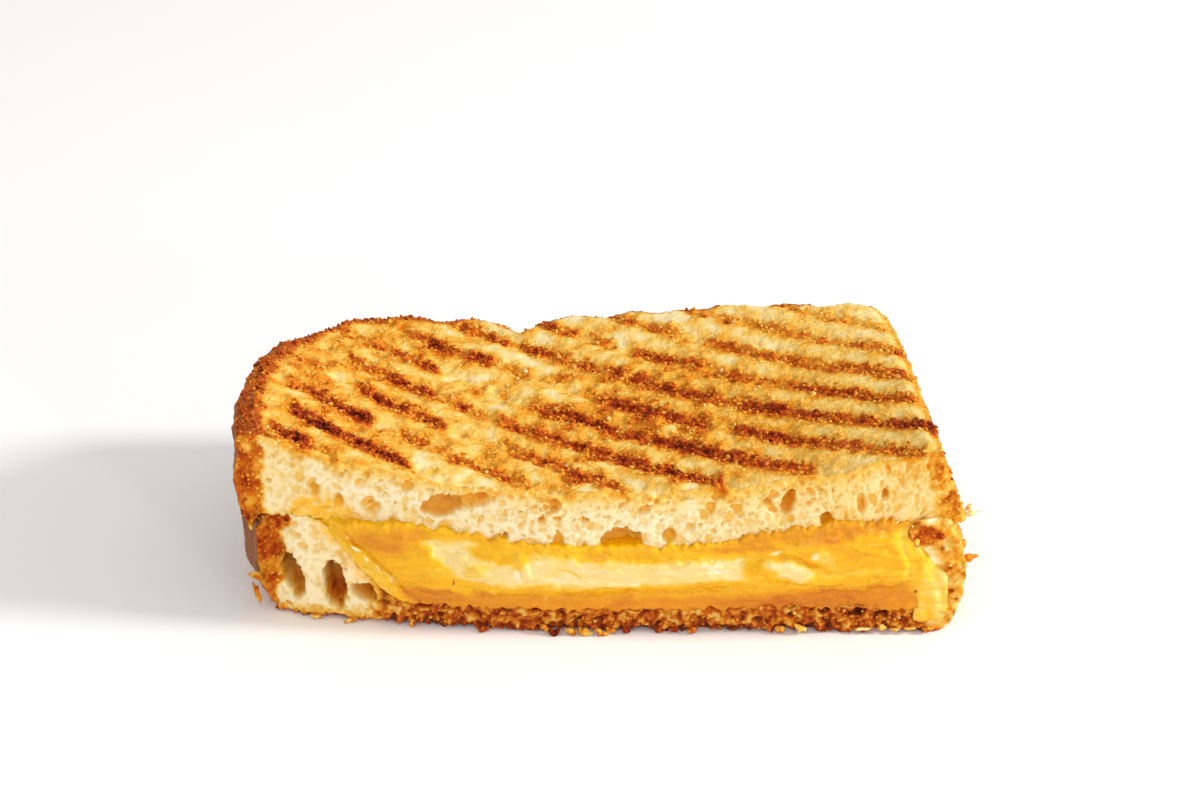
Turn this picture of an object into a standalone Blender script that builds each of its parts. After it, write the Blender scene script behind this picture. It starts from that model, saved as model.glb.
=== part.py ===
"""Half of a pressed grilled cheese sandwich: two slices of bread with three melted layers of cheese.

It lies flat with its cut side towards -Y, and its origin is under the middle of it, on the table.
Sizes and places are in millimetres, and MM turns them into metres where a vertex is placed.
"""

import math

import bmesh
import bpy
from mathutils import Matrix, Vector, noise

MM = 0.001

# The outline from above. The left end is the round top of the loaf.
LEFT_X = -64.2
RIGHT_X = 60.3
CUT_Y = -36.5
BACK_Y = 36.0
CORNER_SWEEP = 20.5
CUT_SWEEP = 7.0
NOTCH_X = -15.0
NOTCH_DEPTH = 5.5
RIPPLE_LENGTH = 11.3

# The pressed top sags in the middle and keeps its height at the two ends.
TOP_MIDDLE = 28.5
HALF_LENGTH = 60.0
HALF_DEPTH = 40.0
TOP_CENTRE_Y = 5.5

# The ribs of the grill leave shallow stripes across the top.
STRIPE_PITCH = 9.1
STRIPE_ANGLE = -34.3
STRIPE_OFFSET = -1.8
STRIPE_DEPTH = 0.8

# The pieces at the cut, from the table up.
FLATTENED_BREAD = 5.2
LEFT_HEEL = 15.0
RIGHT_HEEL = 16.7
ROOF_MIDDLE = 17.2
LOWER_CHEESE = 3.0
WHITE_CHEESE = 7.6
CHEESE_BULGE = 1.2
GAP = 0.3

# The tongue of cheese that has run down at the right.
DRIP_X = 57.8
DRIP_Z = 10.4
DRIP_RADII = (4.2, 2.0, 8.6)
DRIP_TILT = -5

# The large bubbles that the knife opened: x, z, half width, half height, depth and tilt.
TOP_HOLES = {
    "long_cave": (-24.5, 25.0, 6.8, 2.0, 6.0, -9),
    "low_pocket": (4.6, 17.6, 3.6, 3.0, 5.0, 0),
    "upright_slit": (33.7, 26.0, 1.4, 2.7, 4.0, 14),
}
BOTTOM_HOLES = {
    "heel_hole": (-55.0, 8.2, 2.0, 4.3, 5.0, 10),
    "tall_hole": (-47.2, 7.0, 2.1, 4.5, 6.0, 6),
    "round_hole": (-41.6, 6.2, 2.1, 1.7, 4.0, 0),
}

# Each slice's crust stands out past the edge of its top.
RIGHT_FLARE = 4.6
LEFT_BULGE = 1.4
BACK_BULGE = 1.2
CRUST_ROUGHNESS = 0.5
EDGE_DROP = 1.2

# Every layer is shaped from a block with the same columns, so the layers match.
COLUMNS = 32
TOP_ROWS = 32
BOTTOM_ROWS = 16
CHEESE_ROWS = 7
CRUST_LEVELS = 4
CHEESE_LEVELS = 3
CHEESE_BACK = 0.875
HEEL_COLUMN = 30


def ease(t):
    """0 below 0, 1 above 1, and a smooth rise between."""
    t = min(max(t, 0.0), 1.0)
    return t * t * (3 - 2 * t)


def clear_scene():
    for obj in list(bpy.data.objects):
        bpy.data.objects.remove(obj, do_unlink=True)


def material(name, color, roughness):
    made = bpy.data.materials.new(name)
    made.use_nodes = True
    shader = made.node_tree.nodes["Principled BSDF"]
    shader.inputs["Base Color"].default_value = (*color, 1.0)
    shader.inputs["Roughness"].default_value = roughness
    shader.inputs["Metallic"].default_value = 0.0
    return made


def toasted_bread(name):
    return material(name, (0.66, 0.36, 0.10), 0.75)


def orange_cheese(name):
    return material(name, (0.83, 0.42, 0.03), 0.35)


def pale_cheese(name):
    return material(name, (0.86, 0.66, 0.28), 0.35)


# The outline


def left_edge(v):
    cut_corner = 1.5 * max(0.0, 1 - v / 0.25) ** 2
    return LEFT_X + cut_corner + CORNER_SWEEP * v**3.5


def right_edge(v):
    return RIGHT_X - 3.0 * v - 3.0 * v**8


def cut_line(x):
    return CUT_Y + CUT_SWEEP * max(0.0, (-x - 5) / 55) ** 1.6


def back_line(x):
    ripple = math.cos(2 * math.pi * (x + 26) / RIPPLE_LENGTH) * ease((20 - x) / 10)
    ripple += 0.4 * math.sin(x / 1.9)
    notch = NOTCH_DEPTH * math.exp(-(((x - NOTCH_X) / 3.5) ** 2))
    droop = 3.0 * ease((x - 20) / 40)
    return BACK_Y + ripple - notch - droop


def plan(u, v):
    """The place from above: u runs from -1 at the left end to 1, and v from 0 at the cut to 1."""
    left, right = left_edge(v), right_edge(v)
    x = left + (right - left) * (u + 1) / 2
    return x, cut_line(x) + (back_line(x) - cut_line(x)) * v


def along_cut(u):
    return plan(u, 0)[0]


# The heights


def top_height(x, y):
    """The saddle that the press leaves: low in the middle of the cut, high at the ends and the back."""
    x = x / HALF_LENGTH
    y = (y - TOP_CENTRE_Y) / HALF_DEPTH
    middle = TOP_MIDDLE + 2.6 * y + 1.9 * y * y
    ends = (7.2 - 3.8 * y - 2.3 * y * y) * x * x
    lean = 0.5 * x + (2.1 + 2.4 * y) * x * (1 - x * x)
    return middle + ends + lean


def stripe_depth(x, y):
    """How deep a grill rib has pressed here: deepest along parallel lines, and nothing between."""
    angle = math.radians(STRIPE_ANGLE)
    across = (y - TOP_CENTRE_Y) * math.cos(angle) - x * math.sin(angle) - STRIPE_OFFSET
    wave = 0.5 + 0.5 * math.cos(2 * math.pi * across / STRIPE_PITCH)
    return STRIPE_DEPTH * wave**2


def lift(u, v):
    """How much higher the layers lie here than at the cut."""
    x, y = plan(u, v)
    return 0.4 * (top_height(x, y) - top_height(x, cut_line(x)))


def end_dip(a):
    """The slices' seam runs down at the very end of the left crust."""
    return 3.0 * ease((-59 - a) / 4)


def bread_floor(a):
    """The top of the bottom slice: flattened under the cheese, and full at its two crusts."""
    return FLATTENED_BREAD + LEFT_HEEL * ease((-33 - a) / 19) + RIGHT_HEEL * ease((a - 52.5) / 4)


def bread_roof(a):
    """The underside of the top slice."""
    return ROOF_MIDDLE + 3.2 * ease((-a - 5) / 30) + 5.0 * ease((a - 12) / 35)


def lower_seam(a):
    thickness = LOWER_CHEESE + 1.8 * ease((a + 25) / 50)
    return bread_floor(a) + thickness * ease((a + 47) / 8) * ease((60 - a) / 4)


def white_top(a):
    thickness = WHITE_CHEESE * (1 - 0.45 * ease((a + 15) / 50))
    return lower_seam(a) + thickness * ease((a + 34.5) / 9) * ease((38 - a) / 9)


def seam(profile):
    """A seam's height anywhere in the sandwich. The slices close on each other at the back crust."""

    def height(u, v):
        a = along_cut(u)
        meeting = (bread_floor(a) + bread_roof(a)) / 2
        closed = ease((v - 0.88) / 0.1)
        return profile(a) + (meeting - profile(a)) * closed + lift(u, v) - end_dip(a)

    return height


heel_foot = seam(bread_floor)


# Shaping


def brick(columns, rows, levels):
    """A closed block of unit cells, with one corner at the origin."""
    block = bmesh.new()
    bmesh.ops.create_grid(block, x_segments=columns, y_segments=rows, size=0.5)
    bmesh.ops.translate(block, vec=(0.5, 0.5, 0), verts=block.verts)
    bmesh.ops.scale(block, vec=(columns, rows, 1), verts=block.verts)
    raised = bmesh.ops.extrude_face_region(block, geom=block.faces[:])["geom"]
    raised = [item for item in raised if isinstance(item, bmesh.types.BMVert)]
    bmesh.ops.translate(block, vec=(0, 0, levels), verts=raised)
    upright = [edge for edge in block.edges if abs(edge.verts[0].co.z - edge.verts[1].co.z) > 0.5]
    bmesh.ops.subdivide_edges(block, edges=upright, cuts=levels - 1, use_grid_fill=True)
    bmesh.ops.recalc_face_normals(block, faces=block.faces)
    return block


def finish_object(name, block, surface, collection):
    mesh = bpy.data.meshes.new(name)
    block.to_mesh(mesh)
    block.free()
    mesh.shade_smooth()
    mesh.set_sharp_from_angle(angle=math.radians(40))
    mesh.materials.append(surface)
    obj = bpy.data.objects.new(name, mesh)
    collection.objects.link(obj)
    return obj


def roughness_at(x, y, z):
    return CRUST_ROUGHNESS * noise.noise(Vector((x, y, z)) / 4.0)


def top_walls(z):
    """How far the top slice's left and right crusts stand out at a height."""
    left = LEFT_BULGE - ((z - 28) / 5.9) ** 2
    right = RIGHT_FLARE * (1 - ease((z - 20) / 17))
    return left, right


def bottom_walls(z):
    """The bottom slice is rounded under both ends, and it stands in a little at the left."""
    left = -2.8 - 2.6 * (1 - ease(z / 5))
    right = 5.2 * math.sqrt(max(0.0, 1 - ((z - 12) / 12.2) ** 2))
    return left, right


def crust(u, v, z, walls):
    """A place on a slice, with its outer wall pushed out or in as the crust's side view says."""
    x, y = plan(u, v)
    left_offset, right_offset = walls(z)
    right_wall = ease(1 - (1 - u) * COLUMNS / 2)
    left_wall = ease(1 - (1 + u) * COLUMNS / 6)
    back_wall = ease(1 - (1 - v) * BOTTOM_ROWS)
    rough = roughness_at(x, y, z)
    x += right_wall * (right_offset + rough) - left_wall * (left_offset + rough)
    y += back_wall * (BACK_BULGE * math.sin(math.pi * min(max(z / 30, 0), 1)) + rough)
    return x, y, z


def top_slice(collection):
    underside = seam(bread_roof)
    block = brick(COLUMNS, TOP_ROWS, CRUST_LEVELS)
    for vert in block.verts:
        u = 2 * vert.co.x / COLUMNS - 1
        v = vert.co.y / TOP_ROWS
        w = vert.co.z / CRUST_LEVELS
        low = underside(u, v) + GAP / 2
        x, y = plan(u, v)
        edge = max(ease((abs(u) - 0.94) / 0.06), ease((v - 0.95) / 0.05))
        high = top_height(x, y) - EDGE_DROP * edge - stripe_depth(x, y) * (1 - edge)
        z = low + (high - low) * w
        vert.co = MM * Vector(crust(u, v, z, top_walls))
    return finish_object("bread_top", block, toasted_bread("bread_top"), collection)


def bottom_slice(collection):
    top = seam(bread_floor)
    block = brick(COLUMNS, BOTTOM_ROWS, CRUST_LEVELS)
    for vert in block.verts:
        u = 2 * vert.co.x / COLUMNS - 1
        v = vert.co.y / BOTTOM_ROWS
        w = vert.co.z / CRUST_LEVELS
        z = (top(u, v) - GAP / 2) * w
        walls = top_walls if vert.co.z > CRUST_LEVELS - 0.5 else bottom_walls
        vert.co = MM * Vector(crust(u, v, z, walls))
    base = [face for face in block.faces if face.calc_center_median().z < 0.001 * MM]
    bmesh.ops.dissolve_faces(block, faces=base)
    return finish_object("bread_bottom", block, toasted_bread("bread_bottom"), collection)


def heel_lean(u, v):
    """How far the right heel's slope runs along X for each millimetre that it rises."""
    column = 2 / COLUMNS
    rise = heel_foot(u + column, v) - heel_foot(u, v)
    return (plan(u + column, v)[0] - plan(u, v)[0]) / rise


def cheese_layer(name, columns, low_profile, high_profile, surface, collection):
    """A melted layer between two seams, from one column to another, that bulges out of the cut."""
    low_seam, high_seam = seam(low_profile), seam(high_profile)
    first, last = columns
    block = brick(last - first, CHEESE_ROWS, CHEESE_LEVELS)
    for vert in block.verts:
        u = 2 * (first + vert.co.x) / COLUMNS - 1
        v = CHEESE_BACK * vert.co.y / CHEESE_ROWS
        w = vert.co.z / CHEESE_LEVELS
        low = low_seam(u, v) + GAP / 2
        high = high_seam(u, v) - GAP / 2
        x, y = plan(u, v)
        z = low + (high - low) * w
        if first + vert.co.x > HEEL_COLUMN - 0.5:
            x += heel_lean(u, v) * (z - heel_foot(u, v)) - GAP
        if vert.co.y < 0.5:
            y -= CHEESE_BULGE * math.sin(math.pi * w)
        vert.co = MM * Vector((x, y, z))
    return finish_object(name, block, surface, collection)


# Air holes and the drip


def ellipsoid(name, centre, radii, tilt, collection):
    ball = bmesh.new()
    bmesh.ops.create_icosphere(ball, subdivisions=2, radius=1.0)
    bmesh.ops.scale(ball, vec=Vector(radii) * MM, verts=ball.verts)
    turn = Matrix.Rotation(math.radians(tilt), 3, "Y")
    bmesh.ops.rotate(ball, cent=(0, 0, 0), matrix=turn, verts=ball.verts)
    bmesh.ops.translate(ball, vec=Vector(centre) * MM, verts=ball.verts)
    mesh = bpy.data.meshes.new(name)
    ball.to_mesh(mesh)
    ball.free()
    helper = bpy.data.objects.new(name, mesh)
    helper.hide_render = True
    helper.display_type = "WIRE"
    collection.objects.link(helper)
    return helper


def combine(piece, helper, operation):
    modifier = piece.modifiers.new(helper.name, "BOOLEAN")
    modifier.operation = operation
    modifier.object = helper


def open_air_holes(piece, holes, cutters):
    """Opens the air bubbles in a slice's crumb. Each is widest at the cut."""
    for name, (x, z, half_width, half_height, depth, tilt) in holes.items():
        centre = (x, cut_line(x), z)
        radii = (half_width, depth, half_height)
        combine(piece, ellipsoid(name, centre, radii, tilt, cutters), "DIFFERENCE")


def drip(cheese, cutters):
    """The tongue of cheese at the right that runs down over the cut side of the bottom slice."""
    front = CUT_Y - GAP
    tongue = ellipsoid("drip", (DRIP_X, front, DRIP_Z), DRIP_RADII, DRIP_TILT, cutters)
    ball = bmesh.new()
    ball.from_mesh(tongue.data)
    every = ball.verts[:] + ball.edges[:] + ball.faces[:]
    cut = bmesh.ops.bisect_plane(
        ball, geom=every, plane_co=(0, front * MM, 0), plane_no=(0, 1, 0), clear_outer=True
    )
    rim = [item for item in cut["geom_cut"] if isinstance(item, bmesh.types.BMEdge)]
    bmesh.ops.edgeloop_fill(ball, edges=rim)
    bmesh.ops.recalc_face_normals(ball, faces=ball.faces)
    ball.to_mesh(tongue.data)
    ball.free()
    combine(cheese, tongue, "UNION")


clear_scene()
sandwich = bpy.data.collections.new("grilled_cheese_sandwich")
cutters = bpy.data.collections.new("cutters")
bpy.context.scene.collection.children.link(sandwich)
bpy.context.scene.collection.children.link(cutters)

open_air_holes(top_slice(sandwich), TOP_HOLES, cutters)

surface = orange_cheese("cheddar_upper")
upper = cheese_layer("cheddar_upper", (4, HEEL_COLUMN), white_top, bread_roof, surface, sandwich)
drip(upper, cutters)
surface = pale_cheese("white_cheese")
cheese_layer("white_cheese", (8, 25), lower_seam, white_top, surface, sandwich)
surface = orange_cheese("cheddar_lower")
cheese_layer("cheddar_lower", (5, HEEL_COLUMN), bread_floor, lower_seam, surface, sandwich)

open_air_holes(bottom_slice(sandwich), BOTTOM_HOLES, cutters)
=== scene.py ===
import math
import random
from functools import cache

import bmesh
import bpy
from mathutils import Matrix, Vector, noise


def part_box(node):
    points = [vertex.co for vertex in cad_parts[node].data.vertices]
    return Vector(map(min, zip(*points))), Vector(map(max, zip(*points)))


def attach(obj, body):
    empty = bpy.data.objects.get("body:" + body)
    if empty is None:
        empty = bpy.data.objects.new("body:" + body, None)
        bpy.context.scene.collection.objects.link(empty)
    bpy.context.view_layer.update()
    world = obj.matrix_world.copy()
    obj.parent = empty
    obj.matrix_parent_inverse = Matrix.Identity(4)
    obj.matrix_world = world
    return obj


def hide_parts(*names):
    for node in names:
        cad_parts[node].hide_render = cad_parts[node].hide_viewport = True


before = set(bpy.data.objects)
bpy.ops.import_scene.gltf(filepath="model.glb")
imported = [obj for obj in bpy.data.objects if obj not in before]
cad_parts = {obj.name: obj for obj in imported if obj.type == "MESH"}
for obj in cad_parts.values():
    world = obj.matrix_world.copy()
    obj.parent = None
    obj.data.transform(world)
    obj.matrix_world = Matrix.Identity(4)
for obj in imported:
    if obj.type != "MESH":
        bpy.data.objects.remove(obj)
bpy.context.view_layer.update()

# All sizes and places below are in millimetres. MM turns them into metres in a finished mesh.
MM = 0.001


# ---------------------------------------------------------------------------------------------
# The bottom slice
# White sandwich bread, squeezed flat and toasted by the grill plate. Under the cheese it is only
# a thin brown band, and it keeps its full crumb at the two crusts, where the cheese stops.
# ---------------------------------------------------------------------------------------------

slice_low, slice_high = (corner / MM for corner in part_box("bread_top"))

# The outline from above. The left end is the round top of the loaf.
LEFT_X = slice_low.x + 1.4
RIGHT_X = slice_high.x - 4.3
CUT_Y = slice_low.y
BACK_Y = slice_high.y - 2.0
CORNER_SWEEP = 20.5
CUT_SWEEP = 7.0
RIGHT_TAPER = 3.0
RIGHT_CORNER = 3.0
NOTCH_X = -15.0
NOTCH_DEPTH = 5.5
RIPPLE_LENGTH = 11.3

# The seams, from the table up
FLATTENED_BREAD = 5.2
LEFT_HEEL = 15.0
LEFT_HEEL_X = -33.0
LEFT_HEEL_LENGTH = 19.0
RIGHT_HEEL = 17.4
RIGHT_HEEL_X = 56.4
RIGHT_HEEL_LENGTH = 1.6
ROOF_MIDDLE = 17.2
ROOF_LEFT_RISE = 3.2
ROOF_RIGHT_RISE = 5.0

# The slices close on each other over this share of the way back.
CLOSING_FROM = 0.88
CLOSING_SHARE = 0.1

# The pressed top sags in the middle and keeps its height at the two ends.
TOP_MIDDLE = 28.5
HALF_LENGTH = 60.0
HALF_DEPTH = 40.0
TOP_CENTRE_Y = 5.5
END_RISE = 7.2
BACK_RISE = 2.6

# The ribs of the grill plates
STRIPE_PITCH = 9.1
STRIPE_ANGLE = math.radians(-34.3)
STRIPE_OFFSET = -1.8


def ease(t):
    """0 below 0, 1 above 1, and a smooth rise between."""
    t = min(max(t, 0.0), 1.0)
    return t * t * (3 - 2 * t)


def hump(distance, width):
    """1 at no distance, falling away smoothly over a width."""
    return math.exp(-((distance / width) ** 2))


def lumps(x, y, z, size, seed=0.0):
    """Soft random lumps of a size, from -1 to 1."""
    return noise.noise(Vector((x / size + seed, y / size - seed, z / size + 2 * seed)))


def left_edge(v):
    """The x of the left side, at a share v of the way back."""
    cut_corner = 1.5 * max(0.0, 1 - v / 0.25) ** 2
    return LEFT_X + cut_corner + CORNER_SWEEP * v**3.5


def right_edge(v):
    """The x of the right side, at a share v of the way back."""
    return RIGHT_X - RIGHT_TAPER * v - RIGHT_CORNER * v**8


def cut_line(x):
    """The y of the cut, which bends back at the left."""
    return CUT_Y + CUT_SWEEP * max(0.0, (-x - 5) / 55) ** 1.6


@cache
def back_line(x):
    """The y of the back crust, with its ripples and its notch."""
    ripple = math.cos(2 * math.pi * (x + 26) / RIPPLE_LENGTH) * ease((20 - x) / 10)
    ripple += 0.4 * math.sin(x / 1.9) + 0.5 * lumps(x, 0, 0, 1.2)
    notch = NOTCH_DEPTH * hump(x - NOTCH_X, 3.5)
    droop = 3.0 * ease((x - 20) / 40)
    return BACK_Y + ripple - notch - droop


@cache
def plan(u, v):
    """The place from above: u runs from -1 at the left end to 1, and v from 0 at the cut to 1."""
    left, right = left_edge(v), right_edge(v)
    x = left + (right - left) * (u + 1) / 2
    return x, cut_line(x) + (back_line(x) - cut_line(x)) * v


def along_cut(u):
    """The x on the cut that this share of the length has, before anything leans or bulges."""
    return plan(u, 0)[0]


def top_height(x, y):
    """The saddle that the press leaves: low in the middle of the cut, high at the ends and the back."""
    x = x / HALF_LENGTH
    y = (y - TOP_CENTRE_Y) / HALF_DEPTH
    middle = TOP_MIDDLE + BACK_RISE * y + 1.9 * y * y
    ends = (END_RISE - 3.8 * y - 2.3 * y * y) * x * x
    lean = 0.5 * x + (2.1 + 2.4 * y) * x * (1 - x * x)
    return middle + ends + lean


@cache
def lift(u, v):
    """How much higher the layers lie here than at the cut."""
    x, y = plan(u, v)
    return 0.4 * (top_height(x, y) - top_height(x, cut_line(x)))


@cache
def cheese_floor(a):
    """The underside of the cheese: it climbs the heel at the left, and at the right it runs on."""
    rough = 0.9 * lumps(a, 0, 0, 2.4, 17) + 0.6 * lumps(a, 0, 0, 1.1, 18)
    return FLATTENED_BREAD + LEFT_HEEL * ease((LEFT_HEEL_X - a) / LEFT_HEEL_LENGTH) + rough


@cache
def bread_floor(a):
    """The top of the bottom slice: flattened under the cheese, and full at its two crusts."""
    return cheese_floor(a) + RIGHT_HEEL * ease((a - RIGHT_HEEL_X) / RIGHT_HEEL_LENGTH)


@cache
def bread_roof(a):
    """The underside of the top slice, most ragged to the right of the middle."""
    smooth = ROOF_MIDDLE + ROOF_LEFT_RISE * ease((-a - 5) / 30) + ROOF_RIGHT_RISE * ease((a - 12) / 35)
    rough = 1.1 * lumps(a, 0, 0, 2.0, 15) + 0.7 * lumps(a, 0, 0, 0.9, 16)
    return smooth + rough * (1 + 0.5 * ease((a - 15) / 10) * ease((52 - a) / 3))


def seam(profile):
    """A seam's height anywhere in the sandwich. The slices close on each other at the back crust."""

    def height(u, v):
        a = along_cut(u)
        meeting = (bread_floor(a) + bread_roof(a)) / 2
        closed = ease((v - CLOSING_FROM) / CLOSING_SHARE)
        end_dip = 3.0 * ease((-59 - a) / 4)
        return profile(a) + (meeting - profile(a)) * closed + lift(u, v) - end_dip

    return height


def stripe_distance(x, y):
    """How far a place is across from the middle of the nearest grill rib, and which rib that is."""
    across = (y - TOP_CENTRE_Y) * math.cos(STRIPE_ANGLE) - x * math.sin(STRIPE_ANGLE) - STRIPE_OFFSET
    rib = round(across / STRIPE_PITCH)
    return across - rib * STRIPE_PITCH, rib


def slab(columns, rows, levels, halvings):
    """A closed block of unit cells. The cells of each side are halved as often as asked, so that
    fine detail costs triangles only where it shows."""
    block = bmesh.new()
    bmesh.ops.create_grid(block, x_segments=columns, y_segments=rows, size=0.5)
    bmesh.ops.translate(block, vec=(0.5, 0.5, 0), verts=block.verts)
    bmesh.ops.scale(block, vec=(columns, rows, 1), verts=block.verts)
    raised = bmesh.ops.extrude_face_region(block, geom=block.faces[:])["geom"]
    raised = [item for item in raised if isinstance(item, bmesh.types.BMVert)]
    bmesh.ops.translate(block, vec=(0, 0, levels), verts=raised)
    upright = [edge for edge in block.edges if abs(edge.verts[0].co.z - edge.verts[1].co.z) > 0.5]
    bmesh.ops.subdivide_edges(block, edges=upright, cuts=levels - 1, use_grid_fill=True)
    sides = {
        "left": (0, 0),
        "right": (0, columns),
        "cut": (1, 0),
        "back": (1, rows),
        "base": (2, 0),
        "top": (2, levels),
    }
    for step in range(max(halvings.values())):
        wanted = [sides[side] for side, times in halvings.items() if step < times]
        halve(block, lambda face: any(lies_on(face, *side) for side in wanted))
    bmesh.ops.recalc_face_normals(block, faces=block.faces)
    return block


def lies_on(face, axis, value):
    return all(abs(vert.co[axis] - value) < 1e-4 for vert in face.verts)


def halve(block, chosen):
    """Splits each edge of the chosen faces in two, and each of those faces in four."""
    edges = {edge for face in block.faces if chosen(face) for edge in face.edges}
    bmesh.ops.subdivide_edges(block, edges=list(edges), cuts=1, use_grid_fill=True)


def finish_piece(name, block, material, replaced):
    """Makes the block a piece of the sandwich that stands for its CAD nodes."""
    bmesh.ops.triangulate(block, faces=[face for face in block.faces if len(face.verts) > 4])
    mesh = bpy.data.meshes.new(name)
    block.to_mesh(mesh)
    block.free()
    mesh.shade_smooth()
    mesh.materials.append(material)
    piece = bpy.data.objects.new(name, mesh)
    bpy.context.scene.collection.objects.link(piece)
    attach(piece, "root")
    if replaced:
        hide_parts(*replaced)
    return piece


def oval_reach(x, z, centre_x, centre_z, half_width, half_height, tilt):
    """How far out a place lies in a tilted oval on the cut: 0 at its centre and 1 on its edge."""
    turn = math.radians(tilt)
    right = (x - centre_x) * math.cos(turn) + (z - centre_z) * math.sin(turn)
    up = (z - centre_z) * math.cos(turn) - (x - centre_x) * math.sin(turn)
    return math.hypot(right / half_width, up / half_height)


def patch(x, z, centre_x, centre_z, half_width, half_height, tilt, soft=0.5):
    """1 inside a tilted oval patch of the cut, 0 outside it, with a soft edge."""
    return ease((1 - oval_reach(x, z, centre_x, centre_z, half_width, half_height, tilt)) / soft + 0.5)


def hole_depth(x, z, holes):
    """How deep the large air holes that the knife opened go in behind this place on the cut."""
    deepest = 0.0
    for centre_x, centre_z, half_width, half_height, depth, tilt in holes:
        reach = oval_reach(x, z, centre_x, centre_z, half_width, half_height, tilt)
        reach += 0.16 * lumps(x, 0, z, 1.6, 7) + 0.1 * lumps(x, 0, z, 0.7, 8)
        if reach < 1:
            deepest = max(deepest, depth * math.sqrt(1 - reach * reach))
    return deepest


FOAM = (
    # bubble size, share of the bubbles that the knife opened, depth
    (2.2, 0.13, 1.1),
    (1.3, 0.38, 0.8),
    (0.75, 0.52, 0.4),
)
DRAG_CENTRE_Z = 24


def foam(x, z, openness):
    """How deep the crumb's open bubbles go here. At the far right the press dragged them upright."""
    stretch = 1 + 1.2 * ease((x - 40) / 6)
    x = x + 0.5 * lumps(x, 0, z, 1.9, 3)
    z = DRAG_CENTRE_Z + (z - DRAG_CENTRE_Z + 0.5 * lumps(x, 0, z, 1.9, 4)) / stretch
    deepest = 0.0
    for size, share, depth in FOAM:
        distances, centres = noise.voronoi(Vector((x / size, size, z / size)))
        luck = (noise.cell(centres[0] * 9) + 1) / 2
        if luck < share * openness:
            inside = ease((distances[1] - distances[0] - 0.06) / 0.3)
            deepest = max(deepest, depth * inside * (1 - 0.5 * luck / share))
    return deepest


def top_walls(z, v):
    """How far the top slice's left and right crusts stand out at a height."""
    left = 1.4 - ((z - 26) / 6.4) ** 2 + 1.5 * hump(z - 34.5, 2.0)
    right = 5.1 * (1 - ease((z - 20) / 17))
    return left, right


def bottom_walls(z, v):
    """The bottom slice is rounded under both ends, and behind the cut it stands out at the left."""
    left = -2.0 - 3.0 * (1 - ease(z / 6)) + 2.8 * ease(v / 0.18) * ease(z / 7)
    right = 5.2 * math.sqrt(max(0.0, 1 - ((z - 12) / 12.2) ** 2))
    return left, right


def slant(a, z):
    """At the right end, all that meets the cut leans to the left between the two slices."""
    between_slices = ease((z - 14) / 6) * (1 - ease((z - 21) / 4))
    near_end = ease((a - 48) / 9) * (1 - ease((a - 58.6) / 2.6))
    return -2.8 * between_slices * near_end


def crust(u, v, z, walls, columns, rows, from_seam):
    """A place on a slice, with its outer walls shaped. They draw in where the two slices meet."""
    x, y = plan(u, v)
    right_wall = ease(1 - (1 - u) * columns)
    left_wall = ease(1 - (1 + u) * columns / 6)
    back_wall = ease(1 - (1 - v) * rows)
    rough = 0.5 * lumps(x, y, z, 4.0) + 0.25 * lumps(x, y, z, 1.3, 4)
    rough -= 1.3 * hump(from_seam, 1.1) * ease(v * 6)
    left_offset, right_offset = walls(z, v)
    back_offset = 1.2 * math.sin(math.pi * min(max(z / 30, 0), 1))
    x += right_wall * (right_offset + rough) - left_wall * (left_offset + rough)
    y += back_wall * (back_offset + rough)
    return x, y


def on_crust(u, v):
    """How much a side of the sandwich is the loaf's own crust. By the cut, the right side is torn."""
    right = ease((u - 0.9) / 0.08) * ease((v - 0.04) / 0.14) * 0.9
    return max(ease(-u * 4), ease((v - 0.9) / 0.1), right)


class Value:
    """A number that varies over a surface. A sum or product of values adds its Math nodes."""

    def __init__(self, finish, socket):
        self.finish = finish
        self.socket = socket

    def math(self, operation, *terms):
        return self.finish.node("Math", {"operation": operation}, dict(enumerate(terms)))

    def __add__(self, other):
        return self.math("ADD", self, other)

    def __radd__(self, other):
        return self.math("ADD", other, self)

    def __sub__(self, other):
        return self.math("SUBTRACT", self, other)

    def __rsub__(self, other):
        return self.math("SUBTRACT", other, self)

    def __mul__(self, other):
        return self.math("MULTIPLY", self, other)

    def __truediv__(self, other):
        return self.math("DIVIDE", self, other)

    def fract(self):
        return self.math("FRACT", self)

    def ramp_up(self, low, high):
        """0 below low, 1 above high, and a smooth rise between. A low over the high makes it fall."""
        settings = {"interpolation_type": "SMOOTHSTEP"}
        return self.finish.node("MapRange", settings, {"Value": self, "From Min": low, "From Max": high})


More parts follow.
